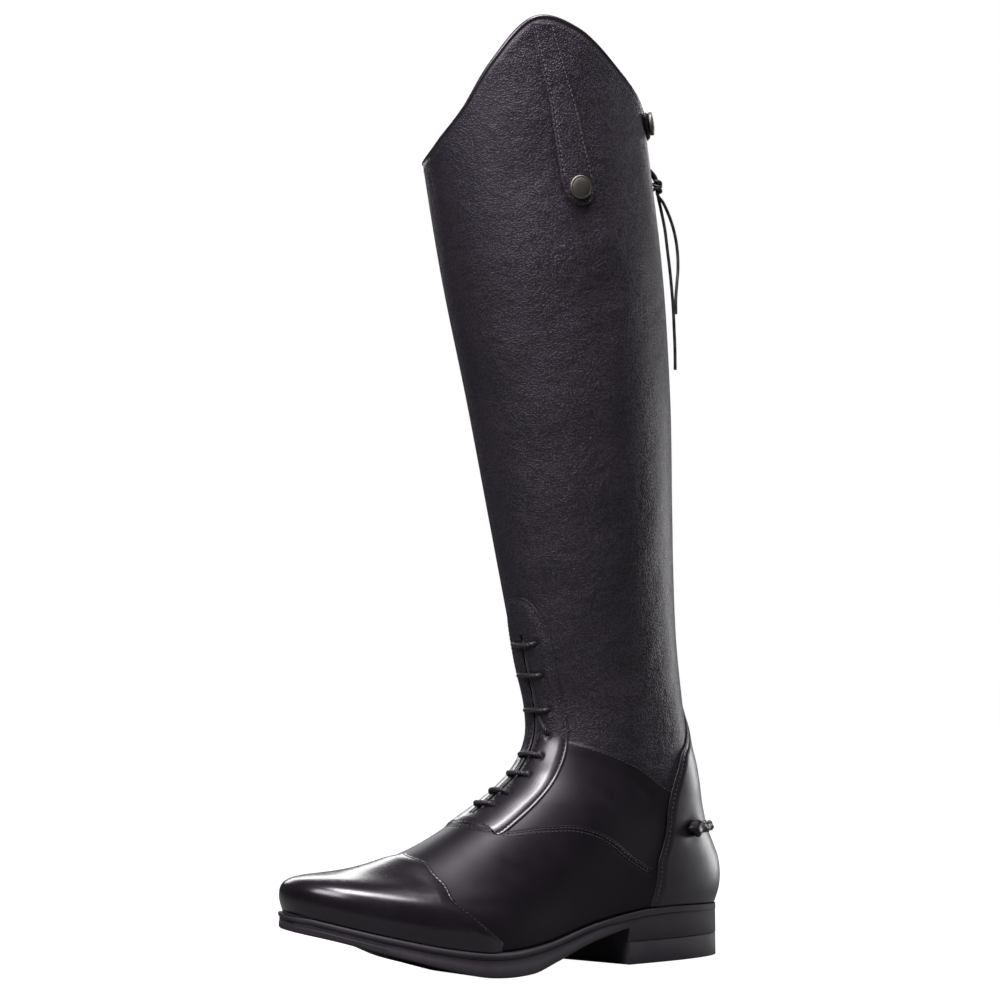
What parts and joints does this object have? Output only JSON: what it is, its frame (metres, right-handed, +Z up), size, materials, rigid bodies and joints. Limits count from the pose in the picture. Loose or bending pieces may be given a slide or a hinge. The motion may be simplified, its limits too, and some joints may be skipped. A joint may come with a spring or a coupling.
{
  "type": "field boot",
  "caption": "Tall black riding boot for the left foot, laced at the ankle, with a high outer collar, rear zip, toe cap and low heel. It stands empty and open at the top.",
  "frame": {"origin": "centre of the boot's box at the floor under the sole", "axes": "+X to the toe, +Y to the outer side of the leg, +Z up"},
  "size_m": [0.2863, 0.1156, 0.5163],
  "materials": {
    "smooth_leather": "polished",
    "grained_leather": "grained, satin",
    "black_rubber": "matte",
    "woven_elastic": "woven",
    "insole_leather": "matte",
    "waxed_cord": "waxed",
    "gunmetal": "antique",
    "black_nylon": "satin"
  },
  "bodies": {
    "root": {"upper": "smooth_leather", "shaft": "grained_leather", "toe_cap": "smooth_leather", "heel_counter": "smooth_leather", "eyestay": "smooth_leather", "tongue": "woven_elastic", "lace": "waxed_cord", "collar_piping": "smooth_leather", "garter_strap": "grained_leather", "snap_tab": "grained_leather", "strap_stud": "gunmetal", "tab_stud": "gunmetal", "zip": "black_nylon", "zip_slider": "gunmetal", "pull_loop": "waxed_cord", "pull_knot": "waxed_cord", "pull_strand_long": "waxed_cord", "pull_strand_bowed": "waxed_cord", "spur_rest": "smooth_leather", "insole": "insole_leather", "welt": "black_rubber", "outsole": "black_rubber", "heel_block": "black_rubber", "heel_top_piece": "black_rubber"}
  },
  "joints": []
}
